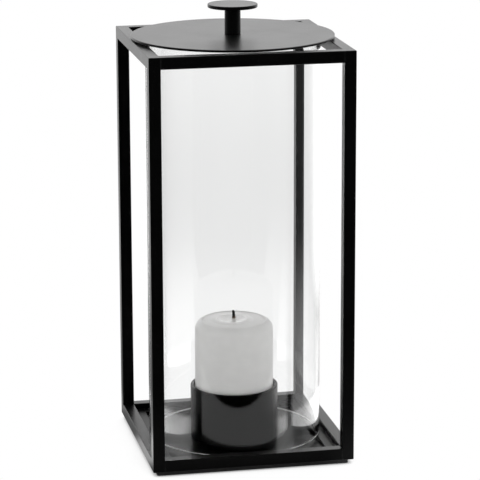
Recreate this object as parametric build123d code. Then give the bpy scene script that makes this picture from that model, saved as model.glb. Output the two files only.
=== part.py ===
from build123d import *
import math
import os

# Hurricane lantern, in millimetres. +Z is up, +X is to the right and -Y is the front.
# The origin is the middle of the underside of the floor pad.

# Welded frame of square steel bar
frame_width = 172.0
frame_height = 350.0
bar = 10.0
bar_edge_radius = 0.8

# Floor pad glued under the frame, set back from its faces
pad_thickness = 4.0
pad_setback = 4.0
pad_corner_radius = 1.5
nut_hole_clearance = 2.5

# Base plate between the bottom rails, and the strips on it that the glass stands on
plate_thickness = 2.0
strip_width = 9.0
strip_thickness = 3.0
strip_edge_radius = 0.5

# Open glass cylinder
glass_clearance = 2.0
glass_wall = 3.0
glass_rise = 1.5
glass_rim_radius = 1.2

# Pillar candle and its wick
candle_diameter = 67.5
candle_height = 101.0
candle_foot_radius = 0.6
candle_shoulder_radius = 4.5
candle_crown = 0.5
melt_pool_diameter = 27.0
melt_pool_depth = 0.8
melt_pool_lip_radius = 20.0
wick_diameter = 2.6
wick_clearance = 0.05
wick_length = 8.2
wick_straight_length = 2.0
wick_lean_degrees = 9.0
wick_tip_radius = 0.5

# Candle cup
cup_clearance = 1.0
cup_wall = 3.0
cup_floor = 3.0
cup_height = 45.5
cup_rim_radius = 0.6

# Lid disc
lid_setback = 0.3
lid_thickness = 2.0
lid_edge_radius = 0.5

# Knob on the lid
stem_diameter = 13.5
stem_length = 22.5
stem_chamfer = 0.4
knob_diameter = 42.0
knob_thickness = 3.0
knob_edge_radius = 0.7

# M5 fasteners
thread_diameter = 5.0
thread_clearance = 0.05
shank_clearance = 0.25
countersunk_head_diameter = 10.0
countersunk_screw_length = 8.0
button_head_diameter = 9.5
button_head_height = 2.75
button_head_edge_height = 0.6
button_screw_engagement = 9.0
tapped_hole_spare = 1.5
socket_across_flats = 3.0
socket_depth = 1.5
nut_across_flats = 8.0
nut_thickness = 2.7
nut_chamfer = 0.5

# Levels, from the floor up
opening = frame_width - 2 * bar
frame_bottom = pad_thickness
frame_top = frame_bottom + frame_height
plate_top = frame_bottom + plate_thickness
strip_top = plate_top + strip_thickness
glass_bottom = strip_top
glass_top = frame_top + glass_rise
candle_bottom = plate_top + cup_floor
candle_top = candle_bottom + candle_height
pool_bottom = candle_top - melt_pool_depth
lid_bottom = glass_top
lid_top = lid_bottom + lid_thickness
stem_top = lid_top + stem_length

os.makedirs("parts", exist_ok=True)
parts = {}


def block(x_range, y_range, z_range):
    """A box given by its lowest and highest X, Y and Z."""
    size = [high - low for low, high in (x_range, y_range, z_range)]
    middle = [(high + low) / 2 for low, high in (x_range, y_range, z_range)]
    return Pos(*middle) * Box(*size)


def rod(radius, bottom, top):
    """An upright round bar on the Z axis."""
    return Pos(0, 0, (bottom + top) / 2) * Cylinder(radius, top - bottom)


def hexagon(across_flats, bottom, top):
    """An upright six-sided bar on the Z axis."""
    outline = RegularPolygon(across_flats / 2, 6, major_radius=False)
    return Pos(0, 0, bottom) * extrude(outline, top - bottom)


def turned(profile):
    """A solid turned about the Z axis from a face in the XZ plane."""
    return revolve(profile, Axis.Z)


def cap_ball_radius(cap_radius, cap_height):
    """Radius of the ball whose cap has the given radius at its base, and the given height."""
    return (cap_radius**2 + cap_height**2) / (2 * cap_height)


def top_edges(solid):
    return solid.edges().group_by(Axis.Z)[-1]


def bottom_edges(solid):
    return solid.edges().group_by(Axis.Z)[0]


def edge_cutter(x_corner, y_corner, z_range):
    """What rounding takes off an upright edge at the corner of the front left post."""
    middle = -(frame_width - bar) / 2
    x_centre = x_corner + math.copysign(bar_edge_radius, middle - x_corner)
    y_centre = y_corner + math.copysign(bar_edge_radius, middle - y_corner)
    square = block(sorted((x_corner, x_centre)), sorted((y_corner, y_centre)), z_range)
    return square - Pos(x_centre, y_centre, 0) * rod(bar_edge_radius, *z_range)


def front_left_post():
    """Post whose outer edges are round throughout, and whose other edges are square at the welds."""
    outer = -frame_width / 2
    inner = outer + bar
    window = (frame_bottom + bar, frame_top - bar)
    post = block((outer, inner), (outer, inner), (frame_bottom, frame_top))
    outer_faces = [post.faces().sort_by(Axis.X)[0], post.faces().sort_by(Axis.Y)[0]]
    corner = post.edges().filter_by(Axis.Z).sort_by_distance((outer, outer, frame_bottom))[0]
    ends = [edge for face in outer_faces for edge in face.edges().filter_by(Axis.Z, reverse=True)]
    post = fillet([corner] + ends, bar_edge_radius)
    post -= edge_cutter(inner, outer, window)
    post -= edge_cutter(outer, inner, window)
    return post - edge_cutter(inner, inner, window)


def frame_bars():
    """Posts run from bottom to top, and rails stand between them, welded and ground flush."""
    half = frame_width / 2
    inner = opening / 2
    low = (-half, -inner)
    high = (inner, half)
    span = (-inner, inner)
    post = front_left_post()
    bars = {
        "post_front_left": post,
        "post_front_right": mirror(post, Plane.YZ),
        "post_back_left": mirror(post, Plane.XZ),
        "post_back_right": mirror(mirror(post, Plane.XZ), Plane.YZ),
    }
    levels = {
        "bottom_rail": (frame_bottom, frame_bottom + bar),
        "top_rail": (frame_top - bar, frame_top),
    }
    for rail, z_range in levels.items():
        for side, y_range in (("front", low), ("back", high)):
            straight = block(span, y_range, z_range)
            bars[f"{rail}_{side}"] = fillet(straight.edges().filter_by(Axis.X), bar_edge_radius)
        for side, x_range in (("left", low), ("right", high)):
            straight = block(x_range, span, z_range)
            bars[f"{rail}_{side}"] = fillet(straight.edges().filter_by(Axis.Y), bar_edge_radius)
    return bars


def base_plate():
    """Sheet welded between the bottom rails, with a clearance hole for the cup's screw."""
    inner = opening / 2
    sheet = block((-inner, inner), (-inner, inner), (frame_bottom, plate_top))
    hole = rod(thread_diameter / 2 + shank_clearance, frame_bottom, plate_top)
    return sheet - hole


def rest_strips():
    """Four flat strips along the rails, the side ones full length and the others between them."""
    inner = opening / 2
    edge = inner - strip_width
    levels = (plate_top, strip_top)
    strips = {
        "rest_strip_left": (block((-inner, -edge), (-inner, inner), levels), Axis.X, 1),
        "rest_strip_right": (block((edge, inner), (-inner, inner), levels), Axis.X, 0),
        "rest_strip_front": (block((-edge, edge), (-inner, -edge), levels), Axis.Y, 1),
        "rest_strip_back": (block((-edge, edge), (edge, inner), levels), Axis.Y, 0),
    }
    rounded = {}
    for name, (strip, axis, side) in strips.items():
        inside = top_edges(strip).sort_by(axis)[-1 if side else 0]
        rounded[name] = fillet(inside, strip_edge_radius)
    return rounded


def floor_pad():
    """Black pad under frame and plate, with a round hole that clears the nut's corners."""
    side = frame_width - 2 * pad_setback
    outline = RectangleRounded(side, side, pad_corner_radius)
    nut_corner = nut_across_flats / math.sqrt(3)
    outline -= Circle(nut_corner + nut_hole_clearance)
    return extrude(outline, pad_thickness)


def glass_cylinder():
    """Open tube whose two cut ends are fire-polished round."""
    outer = opening / 2 - glass_clearance
    tube = rod(outer, glass_bottom, glass_top) - rod(outer - glass_wall, glass_bottom, glass_top)
    return fillet(top_edges(tube) + bottom_edges(tube), glass_rim_radius)


def pillar_candle():
    """Round candle with a soft shoulder, a low crown, a shallow pool and a bore for the wick."""
    radius = candle_diameter / 2
    bore = wick_diameter / 2 + wick_clearance
    foot = Line((bore, candle_bottom), (radius, candle_bottom))
    side = Line(foot @ 1, (radius, candle_top - candle_crown))
    lip = (melt_pool_diameter / 2, candle_top)
    crown = RadiusArc(side @ 1, lip, -cap_ball_radius(radius, candle_crown))
    pool = RadiusArc(lip, (bore, pool_bottom), cap_ball_radius(melt_pool_diameter / 2, melt_pool_depth))
    half = make_face([foot, side, crown, pool, Line(pool @ 1, foot @ 0)])
    for corner, rounding in (
        (foot @ 1, candle_foot_radius), (side @ 1, candle_shoulder_radius), (crown @ 1, melt_pool_lip_radius)
    ):
        half = fillet(half.vertices().sort_by_distance(corner)[0], rounding)
    return turned(Plane.XZ * half)


def wick():
    """Cotton wick through the whole candle, its length counted from the pool and its end leaning in an arc."""
    bend = pool_bottom + wick_straight_length
    lean = math.radians(wick_lean_degrees)
    turn_radius = (wick_length - wick_straight_length) / lean
    tip = (-turn_radius * (1 - math.cos(lean)), 0, bend + turn_radius * math.sin(lean))
    straight = Line((0, 0, candle_bottom), (0, 0, bend))
    curl = TangentArc((0, 0, bend), tip, tangent=(0, 0, 1))
    section = Pos(0, 0, candle_bottom) * Circle(wick_diameter / 2)
    cotton = sweep(section, path=Wire([straight, curl]))
    return fillet(top_edges(cotton), wick_tip_radius)


def candle_cup():
    """Turned cup with a countersunk hole in its floor."""
    inner = candle_diameter / 2 + cup_clearance
    outer = inner + cup_wall
    rim = plate_top + cup_height
    cup = rod(outer, plate_top, rim) - rod(inner, candle_bottom, rim)
    cup = fillet(top_edges(cup), cup_rim_radius)
    hole = thread_diameter / 2 + shank_clearance
    head = countersunk_head_diameter / 2 + shank_clearance
    sink = turned(
        make_face(
            Polyline(
                (0, 0, candle_bottom),
                (head, 0, candle_bottom),
                (hole, 0, candle_bottom - head + hole),
                (hole, 0, plate_top),
                (0, 0, plate_top),
                close=True,
            )
        )
    )
    return cup - sink


def cup_screw():
    """Countersunk screw, its head flush with the cup's floor."""
    head = countersunk_head_diameter / 2
    shank = thread_diameter / 2
    level = candle_bottom - shank_clearance
    tip = candle_bottom - countersunk_screw_length
    body = turned(
        make_face(
            Polyline(
                (0, 0, level),
                (head, 0, level),
                (shank, 0, level - head + shank),
                (shank, 0, tip),
                (0, 0, tip),
                close=True,
            )
        )
    )
    return body - hexagon(socket_across_flats, level - socket_depth, level)


def cup_nut():
    """Thin hexagon nut under the base plate, chamfered on its lower corners."""
    corner = nut_across_flats / math.sqrt(3)
    low = frame_bottom - nut_thickness
    blank = hexagon(nut_across_flats, low, frame_bottom)
    cone = turned(
        make_face(
            Polyline(
                (0, 0, frame_bottom),
                (corner, 0, frame_bottom),
                (corner, 0, low + nut_chamfer),
                (corner - nut_chamfer / math.tan(math.radians(30)), 0, low),
                (0, 0, low),
                close=True,
            )
        )
    )
    hole = rod(thread_diameter / 2 + thread_clearance, low, frame_bottom)
    return (blank & cone) - hole


def lid_disc():
    """Sheet-steel disc that lies on the glass, with a clearance hole for the knob's screw."""
    radius = frame_width / 2 - lid_setback
    disc = rod(radius, lid_bottom, lid_top)
    disc = fillet(top_edges(disc) + bottom_edges(disc), lid_edge_radius)
    return disc - rod(thread_diameter / 2 + shank_clearance, lid_bottom, lid_top)


def knob_stem():
    """Round stem with a tapped blind hole in its foot."""
    stem = rod(stem_diameter / 2, lid_top, stem_top)
    stem = chamfer(bottom_edges(stem), stem_chamfer)
    depth = button_screw_engagement + tapped_hole_spare
    return stem - rod(thread_diameter / 2 + thread_clearance, lid_top, lid_top + depth)


def knob_disc():
    """Disc welded on the stem, by which the lid is lifted."""
    disc = rod(knob_diameter / 2, stem_top, stem_top + knob_thickness)
    return fillet(top_edges(disc) + bottom_edges(disc), knob_edge_radius)


def knob_screw():
    """Button-head screw that holds the stem from below the lid."""
    head = button_head_diameter / 2
    crown_ball = cap_ball_radius(head, button_head_height - button_head_edge_height)
    low = lid_bottom - button_head_height
    blank = rod(head, low, lid_bottom)
    crown = Pos(0, 0, low + crown_ball) * Sphere(crown_ball)
    shank = rod(thread_diameter / 2, lid_bottom, lid_top + button_screw_engagement)
    socket = hexagon(socket_across_flats, low, low + socket_depth)
    return (blank & crown) + shank - socket


parts.update(frame_bars())
parts["base_plate"] = base_plate()
parts.update(rest_strips())
parts["floor_pad"] = floor_pad()
parts["candle_cup"] = candle_cup()
parts["cup_screw"] = cup_screw()
parts["cup_nut"] = cup_nut()
parts["glass_cylinder"] = glass_cylinder()
parts["pillar_candle"] = pillar_candle()
parts["wick"] = wick()
parts["lid_disc"] = lid_disc()
parts["knob_stem"] = knob_stem()
parts["knob_disc"] = knob_disc()
parts["knob_screw"] = knob_screw()

for name, shape in parts.items():
    export_step(shape, f"parts/{name}.step")
print(f"{len(parts)} nodes, overall height {stem_top + knob_thickness:.1f} mm")
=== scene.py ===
import math

import bmesh
import bpy
from mathutils import Matrix, Vector, noise


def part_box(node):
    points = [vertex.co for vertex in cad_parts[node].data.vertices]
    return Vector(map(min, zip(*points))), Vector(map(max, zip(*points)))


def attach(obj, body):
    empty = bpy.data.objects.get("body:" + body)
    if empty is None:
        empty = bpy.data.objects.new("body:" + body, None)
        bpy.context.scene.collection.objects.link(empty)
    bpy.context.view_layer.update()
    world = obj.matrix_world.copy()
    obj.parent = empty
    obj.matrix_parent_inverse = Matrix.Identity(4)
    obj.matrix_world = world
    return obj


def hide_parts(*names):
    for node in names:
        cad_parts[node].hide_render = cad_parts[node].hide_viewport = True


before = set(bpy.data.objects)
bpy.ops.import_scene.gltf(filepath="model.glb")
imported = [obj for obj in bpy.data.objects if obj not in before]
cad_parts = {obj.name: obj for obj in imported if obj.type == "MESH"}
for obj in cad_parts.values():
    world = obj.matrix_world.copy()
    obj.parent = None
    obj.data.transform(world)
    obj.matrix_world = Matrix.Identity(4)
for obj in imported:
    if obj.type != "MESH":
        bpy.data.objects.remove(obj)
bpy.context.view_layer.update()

# Hurricane lantern: finishes for the CAD nodes, finer meshes for glass, candle and wick,
# and a plain white studio seen from the photograph's side. Lengths are in metres.

MM = 0.001

# Camera, from the lantern's corners in the photograph
CAMERA_YAW = math.radians(-11.47)
CAMERA_PITCH = math.radians(13.75)
CAMERA_ROLL = math.radians(-0.20)
CAMERA_DISTANCE = 2.156
CAMERA_AIM = Vector((0.0057, 0.0, 0.1789))
CAMERA_LENS = 188.8
SENSOR_WIDTH = 36.0

# Studio light on matt surfaces, and as shiny ones mirror it. The pairs go from behind the lantern to
# before it, from level to straight above, and from left to right.
SOFT_LIGHT = (1.38, 1.08)
SOFT_LIGHT_SPAN = (-0.2, 0.9)
SOFT_HEIGHT = (0.85, 1.3)
SOFT_SIDES = (0.94, 1.03)
SHINE_LIGHT = (1.6, 0.45)
SHINE_LIGHT_SPAN = (-0.1, 0.45)

# White table and the soft shadow at the lantern's foot
FLOOR_SIZE = 12.0
FLOOR_GAP = 0.02 * MM
FLOOR_COLOUR = (0.88, 0.88, 0.88)
SHADOW_REACH = 0.15
SHADOW_GAIN = 1.7
SHADOW_SAMPLES = 16

# Strength of the table in mirror images. A TURN is a span of the cosine between a place on the table and
# the front, 1 before the lantern and -1 behind it, and a REACH is a span of its distance from the lantern.
TABLE_BEFORE = 0.57
TABLE_BEFORE_TURN = (0.54, 0.74)
TABLE_BESIDE = 1.15
TABLE_BESIDE_LOW = 0.28
TABLE_BESIDE_TURN = (-0.2, 0.12)
TABLE_RIGHT = 0.92
TABLE_RIGHT_REACH = (0.05, 0.15)
TABLE_GLOW = 2.5
TABLE_GLOW_REACH = (0.18, 0.2)
TABLE_FAR = 0.1
TABLE_FAR_REACH = (0.24, 0.9)
TABLE_BEHIND = 1.35
TABLE_BEHIND_TURN = (-0.8, -0.4)
TABLE_BEHIND_NEAR = 0.35
TABLE_BEHIND_REACH = (0.2, 0.75)
# Painted shadow at the lantern's foot: the table darker in mirror images close to it
TABLE_FOOT_SHADE = 0.45
TABLE_FOOT_SHADE_REACH = (0.092, 0.12)

# Bowed front edge of the table, past which mirror images are dark
TABLE_FRONT = 0.2305
TABLE_MIDDLE = 0.13
TABLE_BOW = 0.38
TABLE_EDGE = 0.008

# Slight dip in the backdrop's white as seen through the glass: painted shade for the lantern's soft shadow
# on the table
BACKDROP_DIP = 0.07
BACKDROP_DIP_START = (0.4, 0.8)
BACKDROP_DIP_END = (1.0, 2.0)

# Black coat
COAT_BLACK = (0.0007, 0.0007, 0.0007)
COAT_SPECKS = (0.007, 0.007, 0.007)
COAT_RUBBED = (0.016, 0.016, 0.016)
COAT_ROUGHNESS = 0.33
COAT_TINT = (0.3, 0.3, 0.3, 1)

# Glass. Its white band, a painted highlight for the bright line that the foot's rim refracts, starts at an
# angle, in degrees, on the round of the foot's rim, and ends above it.
GLASS_SEGMENTS = 256
GLASS_RIM_RADIUS = 1.2 * MM
GLASS_GLINT_START = 278
GLASS_GLINT_TOP = 0.8 * MM
GLASS_RIPPLE = 0.006 * MM
GLASS_RIPPLE_SIZE = 38 * MM
GLASS_RIPPLE_STRETCH = 0.4

# Candle. Shares are of the top's radius, of the pool's radius and of the coarse dents.
CANDLE_SEGMENTS = 160
CANDLE_FOOT_RADIUS = 0.6 * MM
SHOULDER_RADIUS = 8 * MM
TOP_CROWN = 0.5 * MM
TOP_RINGS = 56
TOP_RING_CROWDING = 1.4
TOP_EDGE_SHARE = 0.4
TOP_DEPTH = 0.1 * MM
POOL_CENTRE = Vector((-1.8, 0.4, 0)) * MM
POOL_RADIUS = 13.5 * MM
POOL_DEPTH = 0.8 * MM
POOL_FLAT = 0.45
CREEP_HEIGHT = 0.7 * MM
CREEP_WIDTH = 0.7 * MM
DENT = 0.07 * MM
DENT_ON_TOP = 0.06 * MM
DENT_SIZES = (16 * MM, 5 * MM)
DENT_FINE_SHARE = 0.4

# Wick. Its lean is metres sideways for each square metre of free height.
WICK_RADIUS = 1.3 * MM
WICK_STEP = 0.3 * MM
WICK_PITCH = 5.0 * MM
WICK_STRAIGHT = 2.0 * MM
WICK_LEAN = 13.0
WICK_SPLAY = 0.7
WICK_SPLAY_LEVEL = 1.2 * MM
WICK_TAPER = 1.2 * MM
WICK_TIP_SHARE = 0.45
WICK_CHAR = 0.1
WICK_CHAR_SIZE = 0.9 * MM
STRAND_RADIUS = 0.5 * WICK_RADIUS
STRAND_ORBIT = 0.47 * WICK_RADIUS
STRAND_CROSSING = 0.12
# How far each strand ends below the tip
WICK_TIPS = (0.0, 0.5 * MM, 0.25 * MM, 0.8 * MM)


def radii(node):
    """Least and greatest distance of a turned CAD node's corners from the Z axis."""
    spread = [math.hypot(v.co.x, v.co.y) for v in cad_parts[node].data.vertices]
    return min(spread), max(spread)


def levels(node):
    """Lowest and highest Z of a CAD node."""
    low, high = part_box(node)
    return low.z, high.z


def arc(centre, radius, start, end, steps):
    """Points of a round stretch of a profile, from one angle to another in degrees."""
    points = []
    for step in range(steps + 1):
        angle = math.radians(start + (end - start) * step / steps)
        points.append((centre[0] + radius * math.cos(angle), centre[1] + radius * math.sin(angle)))
    return points


def line(start, end, steps):
    """Points from start to end of a straight stretch of a profile, without the last."""
    return [
        (start[0] + (end[0] - start[0]) * step / steps, start[1] + (end[1] - start[1]) * step / steps)
        for step in range(steps)
    ]


def lathe(name, profile, segments, closed=False):
    """A smooth mesh turned about the Z axis from a profile of radius and height."""
    mesh = bmesh.new()
    rings = []
    for radius, height in profile:
        if radius < 1e-7:
            rings.append([mesh.verts.new((0, 0, height))])
            continue
        ring = []
        for step in range(segments):
            turn = 2 * math.pi * step / segments
            ring.append(mesh.verts.new((radius * math.cos(turn), radius * math.sin(turn), height)))
        rings.append(ring)
    pairs = list(zip(rings, rings[1:]))
    if closed:
        pairs.append((rings[-1], rings[0]))
    for lower, upper in pairs:
        for step in range(segments):
            after = (step + 1) % segments
            corners = [lower[step % len(lower)], lower[after % len(lower)]]
            corners += [upper[after % len(upper)], upper[step % len(upper)]]
            face = mesh.faces.new(list(dict.fromkeys(corners)))
            face.smooth = True
    bmesh.ops.recalc_face_normals(mesh, faces=mesh.faces)
    data = bpy.data.meshes.new(name)
    mesh.to_mesh(data)
    mesh.free()
    piece = bpy.data.objects.new(name, data)
    bpy.context.scene.collection.objects.link(piece)
    return piece


def dress(piece, material, body, slot, *nodes):
    """Gives a new piece its material and body and hides the CAD nodes that it stands for; the slot is not
    used.
    """
    piece.data.materials.append(material)
    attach(piece, body)
    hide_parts(*nodes)


class Nodes:
    """A node tree built by short calls."""

    def __init__(self, tree):
        self.tree = tree

    def node(self, kind, **inputs):
        """A new node. Each input is a value or another node's output, under its socket's name."""
        made = self.tree.nodes.new(kind)
        for name, value in inputs.items():
            self.feed(made.inputs[name.replace("_", " ")], value)
        return made

    def feed(self, socket, value):
        if isinstance(value, bpy.types.NodeSocket):
            self.tree.links.new(value, socket)
        else:
            socket.default_value = value

    def math(self, operation, first, second):
        made = self.tree.nodes.new("ShaderNodeMath")
        made.operation = operation
        self.feed(made.inputs[0], first)
        self.feed(made.inputs[1], second)
        return made.outputs["Value"]

    def ramp(self, value, low, high, low_at=0.35, high_at=0.65, smooth=False):
        """The value stretched from low_at to high_at onto low to high."""
        made = self.tree.nodes.new("ShaderNodeMapRange")
        made.interpolation_type = "SMOOTHSTEP" if smooth else "LINEAR"
        for name, number in (("From Min", low_at), ("From Max", high_at), ("To Min", low), ("To Max", high)):
            self.feed(made.inputs[name], number)
        self.tree.links.new(value, made.inputs["Value"])
        return made.outputs["Result"]

    def along(self, vector, direction):
        """How far a vector reaches along a direction."""
        made = self.tree.nodes.new("ShaderNodeVectorMath")
        made.operation = "DOT_PRODUCT"
        self.tree.links.new(vector, made.inputs[0])
        self.feed(made.inputs[1], direction)
        return made.outputs["Value"]

    def blend(self, factor, first, second):
        """A number between two numbers."""
        made = self.tree.nodes.new("ShaderNodeMix")
        for socket, value in (("Factor", factor), (2, first), (3, second)):
            self.feed(made.inputs[socket], value)
        return made.outputs[0]

    def sight(self):
        """1 where the camera sees this straight, through the glass or mirrored, one number for each."""
        path = self.node("ShaderNodeLightPath")
        lit = self.math("LESS_THAN", path.outputs["Diffuse Depth"], 0.5)
        bare = self.math("LESS_THAN", path.outputs["Glossy Depth"], 0.5)
        through = self.math("MULTIPLY", path.outputs["Is Transmission Ray"], bare)
        through = self.math("MULTIPLY", through, lit)
        shiny = self.math("MAXIMUM", path.outputs["Is Glossy Ray"], path.outputs["Is Transmission Ray"])
        mirrored = self.math("SUBTRACT", self.math("MULTIPLY", shiny, lit), through)
        return path.outputs["Is Camera Ray"], through, mirrored


class Shader(Nodes):
    """A node material with one Principled shader."""

    def __init__(self, name):
        self.material = bpy.data.materials.new(name)
        self.material.use_nodes = True
        super().__init__(self.material.node_tree)
        self.principled = self.tree.nodes["Principled BSDF"]
        self.place = self.node("ShaderNodeTexCoord").outputs["Object"]

    def set(self, **inputs):
        """Inputs of the Principled shader."""
        for name, value in inputs.items():
            self.feed(self.principled.inputs[name.replace("_", " ")], value)

    def noise(self, grain, detail=2.0, roughness=0.5, stretch=None):
        """Noise from 0 to 1 whose lumps are about one grain across."""
        place = self.place
        if stretch:
            place = self.node("ShaderNodeMapping", Vector=place, Scale=stretch).outputs["Vector"]
        made = self.node(
            "ShaderNodeTexNoise", Vector=place, Scale=1 / grain, Detail=detail, Roughness=roughness
        )
        return made.outputs["Fac"]

    def mix(self, factor, first, second):
        """A colour between two colours."""
        made = self.tree.nodes.new("ShaderNodeMix")
        made.data_type = "RGBA"
        self.feed(made.inputs["Factor"], factor)
        for socket, colour in ((made.inputs[6], first), (made.inputs[7], second)):
            self.feed(socket, colour if isinstance(colour, bpy.types.NodeSocket) else (*colour, 1))
        return made.outputs[2]

    def bump(self, height, distance, normal=None):
        """A normal raised by height times distance."""
        made = self.node("ShaderNodeBump", Height=height, Distance=distance, Strength=1.0)
        if normal:
            self.tree.links.new(normal, made.inputs["Normal"])
        return made.outputs["Normal"]

    def edges(self, radius):
        """1 on rounded or square edges within radius, and 0 on flat faces."""
        bevel = self.node("ShaderNodeBevel", Radius=radius)
        bevel.samples = 6
        flat = self.node("ShaderNodeNewGeometry").outputs["Normal"]
        return self.ramp(self.along(bevel.outputs["Normal"], flat), 1.0, 0.0, 0.86, 0.99)


def powder_coat(name, peel, ior):
    """Black powder coat: fine grain, orange peel of a given height, faint dust and rubbed edges."""
    paint = Shader(name)
    grain = paint.noise(0.55 * MM, 3.0, 0.6)
    lumps = paint.noise(2.2 * MM, 2.0)
    clouds = paint.noise(34 * MM, 3.0)
    wear = paint.ramp(paint.noise(5 * MM, 4.0, 0.7), 0.0, 1.0)
    rubbed = paint.math("MULTIPLY", paint.edges(0.9 * MM), wear)
    darker = [0.75 * value for value in COAT_BLACK]
    lighter = [1.3 * value for value in COAT_BLACK]
    shade = paint.mix(paint.ramp(clouds, 0.0, 1.0), darker, lighter)
    speck = paint.ramp(paint.noise(0.8 * MM, 1.0), 0.0, 1.0, 0.69, 0.74)
    shade = paint.mix(speck, shade, COAT_SPECKS)
    shade = paint.mix(rubbed, shade, COAT_RUBBED)
    polish = paint.ramp(grain, COAT_ROUGHNESS - 0.03, COAT_ROUGHNESS + 0.03)
    polish = paint.math("ADD", paint.ramp(clouds, -0.01, 0.01), polish)
    normal = paint.bump(grain, peel)
    normal = paint.bump(lumps, 2.4 * peel, normal)
    shine = paint.ramp(paint.noise(1.1 * MM, 2.0, 0.7), 0.44, 0.56)
    paint.set(Base_Color=shade, Roughness=polish, Normal=normal, IOR=ior)
    paint.set(Specular_IOR_Level=shine, Specular_Tint=COAT_TINT)
    return paint.material


def pad_rubber():
    """Matt black foam rubber with open pores and paler dust."""
    rubber = Shader("pad_rubber_finish")
    pores = rubber.noise(0.9 * MM, 4.0, 0.7)
    dust = rubber.noise(9 * MM, 4.0, 0.65)
    shade = rubber.mix(rubber.ramp(pores, 0.0, 1.0), (0.006, 0.006, 0.006), (0.014, 0.014, 0.014))
    shade = rubber.mix(rubber.ramp(dust, 0.0, 0.5, 0.5, 0.75), shade, (0.03, 0.029, 0.028))
    rubber.set(Base_Color=shade, Roughness=rubber.ramp(pores, 0.8, 0.95))
    rubber.set(Normal=rubber.bump(pores, 0.12 * MM))
    return rubber.material


def clear_glass():
    """Clear glass with a breath of dust that only shows as a softer shine in patches."""
    glass = Shader("clear_glass_finish")
    smear = glass.noise(26 * MM, 5.0, 0.6, (1, 1, 0.35))
    glass.set(Base_Color=(0.993, 0.995, 0.994, 1), Roughness=glass.ramp(smear, 0.0, 0.03, 0.5, 0.8))
    glass.set(Transmission_Weight=1.0, IOR=1.46)
    return glass.material


def painted_rim_glint():
    """Painted highlight: a white, matt band on the glass foot's rim for the bright line that the rim
    refracts, with a fine grain and cloudy patches.
    """
    glint = Shader("painted_rim_glint_finish")
    grit = glint.noise(0.3 * MM, 3.0, 0.6)
    patches = glint.noise(6 * MM, 3.0, 0.6)
    shade = glint.mix(glint.ramp(patches, 0.0, 1.0), (0.93, 0.94, 0.94), (1.0, 1.0, 1.0))
    glint.set(Base_Color=shade, Roughness=glint.ramp(grit, 0.45, 0.7), IOR=1.46)
    glint.set(Normal=glint.bump(grit, 0.03 * MM))
    return glint.material


def candle_wax():
    """Pale wax, a little translucent, with faint mottling, pour lines and a glossier, clearer melt pool."""
    wax = Shader("candle_wax_finish")
    mottle = wax.noise(11 * MM, 4.0, 0.55)
    lines = wax.noise(30 * MM, 3.0, 0.6, (1, 1, 14))
    fine = wax.noise(0.7 * MM, 3.0, 0.6)
    shade = wax.mix(wax.ramp(mottle, 0.0, 1.0), (0.83, 0.825, 0.815), (0.88, 0.875, 0.865))
    shade = wax.mix(wax.ramp(lines, 0.0, 0.35), shade, (0.81, 0.805, 0.795))
    pool = wax.node("ShaderNodeVectorMath", Vector=wax.place)
    pool.operation = "DISTANCE"
    wax.feed(pool.inputs[1], (*POOL_CENTRE.xy, levels("pillar_candle")[1]))
    pool = wax.ramp(pool.outputs["Value"], 1.0, 0.0, 0.9 * POOL_RADIUS, POOL_RADIUS, smooth=True)
    shade = wax.mix(wax.math("MULTIPLY", pool, 0.5), shade, (0.76, 0.755, 0.745))
    normal = wax.bump(fine, 0.012 * MM)
    normal = wax.bump(mottle, 0.1 * MM, normal)
    polish = wax.math("SUBTRACT", wax.ramp(mottle, 0.3, 0.4), wax.math("MULTIPLY", pool, 0.12))
    wax.set(Base_Color=shade, Roughness=polish, Normal=normal)
    wax.set(Subsurface_Weight=0.3, Subsurface_Radius=(1.0, 1.0, 1.0), Subsurface_Scale=2.5 * MM, IOR=1.44)
    return wax.material


def wick_cotton(foot, tip):
    """Braided cotton, charred black at the tip and singed brown where it leaves the wax."""
    cotton = Shader("wick_cotton_finish")
    height = cotton.node("ShaderNodeSeparateXYZ", Vector=cotton.place).outputs["Z"]
    patch = cotton.ramp(cotton.noise(0.9 * MM, 4.0, 0.7), -1.1 * MM, 1.1 * MM, 0.3, 0.7)
    level = cotton.math("ADD", height, patch)
    fibres = cotton.noise(0.25 * MM, 4.0, 0.7, (1, 1, 0.3))
    waxed = cotton.mix(fibres, (0.62, 0.56, 0.47), (0.78, 0.74, 0.66))
    singed = cotton.mix(fibres, (0.11, 0.055, 0.028), (0.2, 0.11, 0.06))
    char = cotton.mix(fibres, (0.006, 0.006, 0.006), (0.03, 0.028, 0.026))
    rise = tip - foot
    shade = cotton.mix(cotton.ramp(level, 0.0, 1.0, foot, foot + 0.25 * rise), waxed, singed)
    charred = cotton.ramp(level, 0.0, 1.0, foot + 0.15 * rise, foot + 0.4 * rise)
    shade = cotton.mix(charred, shade, char)
    cotton.set(Base_Color=shade, Roughness=cotton.ramp(fibres, 0.75, 0.95))
    cotton.set(Normal=cotton.bump(fibres, 0.08 * MM))
    return cotton.material


def zinc_steel():
    """Bright zinc plate with turning lines and cloudy spots."""
    zinc = Shader("zinc_steel_finish")
    clouds = zinc.noise(1.6 * MM, 5.0, 0.65)
    turning = zinc.noise(0.35 * MM, 2.0, 0.5, (0.2, 0.2, 3))
    shade = zinc.mix(zinc.ramp(clouds, 0.0, 1.0), (0.46, 0.47, 0.5), (0.66, 0.66, 0.64))
    zinc.set(Base_Color=shade, Roughness=zinc.ramp(clouds, 0.26, 0.46), Normal=zinc.bump(turning, 0.02 * MM))
    zinc.set(Metallic=1.0)
    return zinc.material


def repaint(material, *nodes):
    """Gives CAD nodes a new material in place of their own."""
    for node in nodes:
        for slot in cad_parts[node].material_slots:
            slot.material = material


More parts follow.
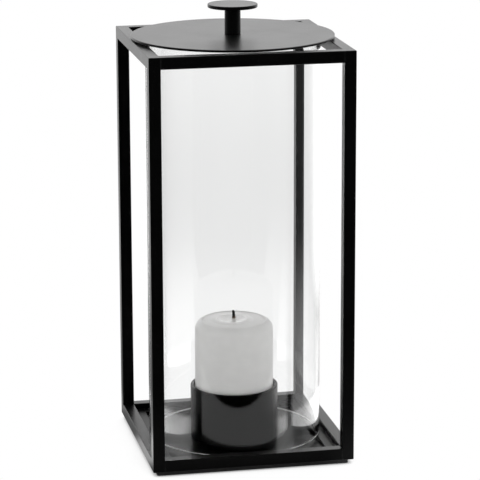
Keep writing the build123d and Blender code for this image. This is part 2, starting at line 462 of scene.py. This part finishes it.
def glass_tube(material, glint_material):
    """The glass with rounded rims, a white band round its foot as a painted highlight, and a ripple too
    slight to see by itself.
    """
    inner, outer = radii("glass_cylinder")
    low, high = levels("glass_cylinder")
    rim = GLASS_RIM_RADIUS
    profile = line((outer, low + rim), (outer, high - rim), 70)
    profile += arc((outer - rim, high - rim), rim, 0, 90, 8)
    profile += arc((inner + rim, high - rim), rim, 90, 180, 8)[:-1]
    profile += line((inner, high - rim), (inner, low + rim), 70)
    profile += arc((inner + rim, low + rim), rim, 180, 270, 8)
    profile += arc((outer - rim, low + rim), rim, 270, 360, 8)[:-1]
    tube = lathe("glass_tube", profile, GLASS_SEGMENTS, closed=True)
    middle = (inner + outer) / 2
    for vertex in tube.data.vertices:
        flat = Vector((vertex.co.x, vertex.co.y, 0))
        side = 1 if flat.length > middle else -1
        place = Vector((vertex.co.x, vertex.co.y, vertex.co.z * GLASS_RIPPLE_STRETCH)) / GLASS_RIPPLE_SIZE
        lift = GLASS_RIPPLE * noise.noise(place + Vector((side * 7.3, 0, 0)))
        vertex.co += flat.normalized() * (lift - GLASS_RIPPLE if side > 0 else lift)
    dress(tube, material, "glass", "clear_glass", "glass_cylinder")
    # White band on the foot's rim: a painted highlight for the bright line that the rim refracts
    tube.data.materials.append(glint_material)
    for face in tube.data.polygons:
        out = math.hypot(face.center.x, face.center.y) - (outer - rim)
        up = face.center.z - (low + rim)
        if out > 0 and up < GLASS_GLINT_TOP and math.degrees(math.atan2(up, out)) + 360 > GLASS_GLINT_START:
            face.material_index = 1


def candle(material):
    """The candle with a soft shoulder, a low crown, a pool off its middle and wax drawn up the wick."""
    low, high = levels("pillar_candle")
    bore, radius = radii("pillar_candle")
    foot = CANDLE_FOOT_RADIUS
    edge = high - TOP_CROWN
    profile = [(bore, low)] + arc((radius - foot, low + foot), foot, 270, 360, 4)
    profile += line((radius, low + 2 * foot), (radius, edge - SHOULDER_RADIUS), 60)
    profile += arc((radius - SHOULDER_RADIUS, edge - SHOULDER_RADIUS), SHOULDER_RADIUS, 0, 88, 16)
    flat = profile[-1][0]
    for step in range(1, TOP_RINGS + 1):
        profile.append((bore + (flat - bore) * (1 - step / TOP_RINGS) ** TOP_RING_CROWDING, edge))
    body = lathe("candle_body", profile, CANDLE_SEGMENTS, closed=True)
    for vertex in body.data.vertices:
        across = Vector((vertex.co.x, vertex.co.y, 0))
        distance = across.length
        if vertex.co.z > edge - TOP_DEPTH:
            rise = TOP_CROWN * math.sin(math.pi / 2 * min(1.0, (flat - distance) / (TOP_EDGE_SHARE * flat)))
            outwards = (across - POOL_CENTRE).length / POOL_RADIUS
            pool = max(0.0, min(1.0, outwards - POOL_FLAT) / (1 - POOL_FLAT))
            creep = math.exp(-(((distance - bore) / CREEP_WIDTH) ** 2))
            vertex.co.z += rise - POOL_DEPTH * 0.5 * (1 + math.cos(math.pi * pool)) + CREEP_HEIGHT * creep
        if distance > 1.5 * bore:
            coarse, fine = [noise.noise(vertex.co / size) for size in DENT_SIZES]
            dent = coarse + DENT_FINE_SHARE * fine
            vertex.co -= across.normalized() * DENT * (1 + dent)
            if vertex.co.z > edge - SHOULDER_RADIUS:
                vertex.co.z -= DENT_ON_TOP * (1 + dent)
    dress(body, material, "candle", "candle_wax", "pillar_candle")


def strand(mesh, path, widths, sides=8):
    """A closed tube along a path that rises, with a radius for each of its points."""
    rings = []
    for point, width in zip(path, widths):
        ring = []
        for side in range(sides):
            turn = 2 * math.pi * side / sides
            ring.append(mesh.verts.new(point + Vector((math.cos(turn), math.sin(turn), 0)) * width))
        rings.append(ring)
    for lower, upper in zip(rings, rings[1:]):
        for side in range(sides):
            after = (side + 1) % sides
            mesh.faces.new((lower[side], lower[after], upper[after], upper[side])).smooth = True
    mesh.faces.new(rings[0][::-1])
    mesh.faces.new(rings[-1])


def wick(material):
    """Braided wick: two pairs of strands wound against each other, leaning and burnt ragged at the tip."""
    low, high = levels("wick")
    foot = levels("pillar_candle")[1] - POOL_DEPTH
    mesh = bmesh.new()
    steps = round((high - low) / WICK_STEP)
    for number, tip in enumerate(WICK_TIPS):
        way = 1 if number % 2 else -1
        top = high - tip
        path = []
        widths = []
        for step in range(steps + 1):
            level = low + (top - low) * step / steps
            turn = way * 2 * math.pi * level / WICK_PITCH + number * 2 * math.pi / len(WICK_TIPS)
            lean = max(0.0, level - foot - WICK_STRAIGHT)
            taper = min(1.0, WICK_TIP_SHARE + (top - level) / WICK_TAPER)
            burnt = level > foot
            char = 1 + WICK_CHAR * noise.noise(Vector((number, 0, level / WICK_CHAR_SIZE))) if burnt else 1
            splay = 1 + WICK_SPLAY * math.exp(-(((level - foot - WICK_SPLAY_LEVEL) / WICK_STRAIGHT) ** 2))
            orbit = STRAND_ORBIT * (1 + STRAND_CROSSING * way * math.cos(2 * turn)) * char * splay
            x = orbit * math.cos(turn) - WICK_LEAN * lean * lean
            path.append(Vector((x, orbit * math.sin(turn), level)))
            widths.append(STRAND_RADIUS * taper * char)
        strand(mesh, path, widths)
    bmesh.ops.recalc_face_normals(mesh, faces=mesh.faces)
    data = bpy.data.meshes.new("wick_braid")
    mesh.to_mesh(data)
    mesh.free()
    braid = bpy.data.objects.new("wick_braid", data)
    bpy.context.scene.collection.objects.link(braid)
    dress(braid, material, "candle", "wick_cotton", "wick")


def towards_front():
    """Level direction from the lantern to the photographer."""
    return (math.sin(CAMERA_YAW), -math.cos(CAMERA_YAW), 0.0)


def towards_right():
    """Level direction to the photographer's right."""
    return (math.cos(CAMERA_YAW), math.sin(CAMERA_YAW), 0.0)


def world_light():
    """White studio: even light, a white backdrop, and for what shines a dimmer side by the photographer."""
    world = bpy.data.worlds.new("studio")
    bpy.context.scene.world = world
    world.use_nodes = True
    studio = Nodes(world.node_tree)
    background = world.node_tree.nodes["Background"]
    background.inputs["Color"].default_value = (1, 1, 1, 1)
    direction = studio.node("ShaderNodeTexCoord").outputs["Generated"]
    front = studio.along(direction, towards_front())
    straight, through, mirrored = studio.sight()
    height = studio.ramp(studio.along(direction, (0, 0, 1)), *SOFT_HEIGHT, 0, 1)
    sides = studio.ramp(studio.along(direction, towards_right()), *SOFT_SIDES, -1, 1)
    soft = studio.ramp(front, *SOFT_LIGHT, *SOFT_LIGHT_SPAN, smooth=True)
    strength = studio.math("MULTIPLY", studio.math("MULTIPLY", height, soft), sides)
    shine = studio.ramp(front, *SHINE_LIGHT, *SHINE_LIGHT_SPAN, smooth=True)
    strength = studio.blend(mirrored, strength, shine)
    seen = studio.math("MAXIMUM", straight, through)
    studio.feed(background.inputs["Strength"], studio.blend(seen, strength, 1.0))


def table_shine(table, place, distance):
    """Strength of the table in mirror images, by what part of it shows."""
    front = table.along(place, towards_front())
    right = table.along(place, towards_right())
    turn = table.math("DIVIDE", front, distance)

    beside = table.ramp(turn, TABLE_BESIDE_LOW, 1.0, *TABLE_BESIDE_TURN, smooth=True)
    beside = table.math("MAXIMUM", beside, table.ramp(right, 0.0, TABLE_RIGHT, *TABLE_RIGHT_REACH))
    fading = table.ramp(distance, 1.0, TABLE_FAR, *TABLE_FAR_REACH, smooth=True)
    glow = table.ramp(distance, TABLE_GLOW, 1.0, *TABLE_GLOW_REACH, smooth=True)
    beside = table.math("MULTIPLY", table.math("MULTIPLY", beside, fading), glow)
    beside = table.math("MULTIPLY", beside, TABLE_BESIDE)
    before = table.ramp(turn, 0.0, 1.0, *TABLE_BEFORE_TURN, smooth=True)
    beside = table.blend(before, beside, TABLE_BEFORE)

    behind = table.ramp(turn, TABLE_BEHIND, 0.0, *TABLE_BEHIND_TURN, smooth=True)
    near = table.ramp(distance, TABLE_BEHIND_NEAR, 1.0, *TABLE_BEHIND_REACH, smooth=True)
    shine = table.math("MAXIMUM", beside, table.math("MULTIPLY", behind, near))

    apart = table.node("ShaderNodeSeparateXYZ", Vector=place).outputs
    foot = [table.math("ABSOLUTE", apart[axis], 0) for axis in "XY"]
    # Painted shadow: the table shows darker in mirror images near the lantern's foot
    foot_shade = table.ramp(table.math("MAXIMUM", *foot), TABLE_FOOT_SHADE, 1.0, *TABLE_FOOT_SHADE_REACH, smooth=True)
    shine = table.math("MULTIPLY", shine, foot_shade)

    bow = table.math("POWER", table.math("SUBTRACT", right, TABLE_MIDDLE), 2)
    past_edge = table.math("SUBTRACT", front, table.math("MULTIPLY", bow, TABLE_BOW))
    edge = (TABLE_FRONT - TABLE_EDGE / 2, TABLE_FRONT + TABLE_EDGE / 2)
    return table.math("MULTIPLY", shine, table.ramp(past_edge, 1.0, 0.0, *edge, smooth=True))


def backdrop_dip(table, distance, through):
    """1, or a little less on the part of the backdrop that shows dimmer through the glass: painted shade for
    the lantern's soft shadow on the table.
    """
    dip = table.ramp(distance, 0.0, BACKDROP_DIP, *BACKDROP_DIP_START, smooth=True)
    dip = table.math("MULTIPLY", dip, table.ramp(distance, 1.0, 0.0, *BACKDROP_DIP_END, smooth=True))
    return table.math("SUBTRACT", 1.0, table.math("MULTIPLY", dip, through))


def white_table():
    """White where the camera sees it, with the lantern's shadow, and matt paper for all other light."""
    material = bpy.data.materials.new("white_table")
    material.use_nodes = True
    table = Nodes(material.node_tree)
    table.tree.nodes.remove(table.tree.nodes["Principled BSDF"])
    place = table.node("ShaderNodeNewGeometry").outputs["Position"]
    distance = table.node("ShaderNodeVectorMath", Vector=place)
    distance.operation = "LENGTH"
    distance = distance.outputs["Value"]
    straight, through, mirrored = table.sight()

    open_air = table.node("ShaderNodeAmbientOcclusion", Distance=SHADOW_REACH)
    open_air.samples = SHADOW_SAMPLES
    white = table.math("MULTIPLY", open_air.outputs["AO"], SHADOW_GAIN)
    white = table.math("MINIMUM", white, 1.0)
    # Painted shade: the lantern's soft shadow on the table, as seen through the glass
    white = table.math("MULTIPLY", white, backdrop_dip(table, distance, through))
    strength = table.blend(mirrored, white, table_shine(table, place, distance))

    seen = table.math("MAXIMUM", table.math("MAXIMUM", straight, through), mirrored)
    surface = table.node("ShaderNodeMixShader")
    paper = table.node("ShaderNodeBsdfDiffuse", Color=(*FLOOR_COLOUR, 1))
    shown = table.node("ShaderNodeEmission", Strength=strength)
    for number, source in enumerate((seen, paper.outputs[0], shown.outputs[0])):
        table.feed(surface.inputs[number], source)
    table.feed(table.tree.nodes["Material Output"].inputs["Surface"], surface.outputs[0])
    return material


def floor():
    """Level table just under the lantern."""
    mesh = bpy.data.meshes.new("floor")
    half = FLOOR_SIZE / 2
    corners = [(-half, -half, 0), (half, -half, 0), (half, half, 0), (-half, half, 0)]
    mesh.from_pydata(corners, [], [(0, 1, 2, 3)])
    mesh.materials.append(white_table())
    plane = bpy.data.objects.new("floor", mesh)
    plane.location.z = -FLOOR_GAP
    bpy.context.scene.collection.objects.link(plane)


def camera():
    """Camera where the photograph was taken from."""
    data = bpy.data.cameras.new("camera")
    data.sensor_width = SENSOR_WIDTH
    data.lens = CAMERA_LENS
    data.clip_start = 0.1
    data.clip_end = 50.0
    made = bpy.data.objects.new("camera", data)
    bpy.context.scene.collection.objects.link(made)
    back = Vector(
        (
            math.sin(CAMERA_YAW) * math.cos(CAMERA_PITCH),
            -math.cos(CAMERA_YAW) * math.cos(CAMERA_PITCH),
            math.sin(CAMERA_PITCH),
        )
    )
    right = (-back).cross(Vector((0, 0, 1))).normalized()
    up = right.cross(-back)
    level = Matrix((right, up, back)).transposed().to_4x4()
    place = Matrix.Translation(CAMERA_AIM + back * CAMERA_DISTANCE)
    made.matrix_world = place @ level @ Matrix.Rotation(CAMERA_ROLL, 4, "Z")
    bpy.context.scene.camera = made


FRAME_NODES = [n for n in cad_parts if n.startswith(("post_", "top_rail", "bottom_rail"))]
BASE_NODES = [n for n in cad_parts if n.startswith("rest_strip")] + ["base_plate"]

repaint(powder_coat("frame_coat_finish", 0.012 * MM, 1.33), *FRAME_NODES)
repaint(powder_coat("base_coat_finish", 0.012 * MM, 1.19), *BASE_NODES)
repaint(powder_coat("lid_coat_finish", 0.014 * MM, 1.37), "lid_disc", "knob_stem", "knob_disc")
repaint(powder_coat("cup_coat_finish", 0.008 * MM, 1.15), "candle_cup")
repaint(pad_rubber(), "floor_pad")
repaint(zinc_steel(), "cup_screw", "cup_nut", "knob_screw")
glass_tube(clear_glass(), painted_rim_glint())
candle(candle_wax())
wick(wick_cotton(levels("pillar_candle")[1] - POOL_DEPTH, levels("wick")[1]))
world_light()
floor()
camera()
bpy.context.scene.view_settings.view_transform = "Standard"
